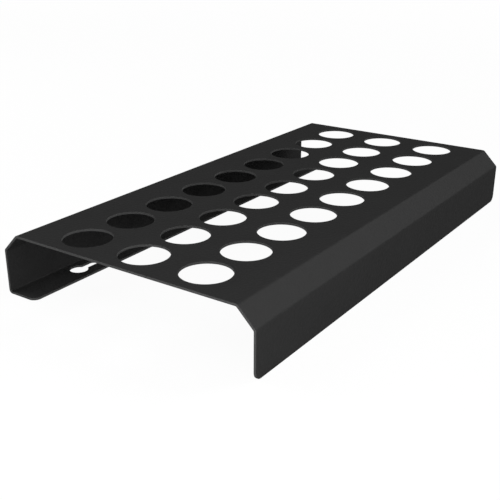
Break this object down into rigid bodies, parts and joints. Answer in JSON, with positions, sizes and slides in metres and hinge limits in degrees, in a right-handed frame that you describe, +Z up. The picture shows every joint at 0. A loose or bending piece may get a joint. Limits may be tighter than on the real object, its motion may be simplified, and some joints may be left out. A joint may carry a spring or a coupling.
{
  "type": "collet stand",
  "caption": "Low folded sheet steel bench stand with rows of round holes for spring collets, angled shoulders, plain walls and a keyholed foot flange.",
  "frame": {"origin": "middle of the stand's footprint, on the bench", "axes": "+X along the rows of holes, -Y to the plain front wall, +Y to the rear wall with the foot flange, +Z up from the bench"},
  "size_m": [0.3534, 0.19, 0.0416],
  "materials": {
    "powder_coat": "satin"
  },
  "bodies": {
    "root": {"stand": "powder_coat"}
  },
  "joints": []
}
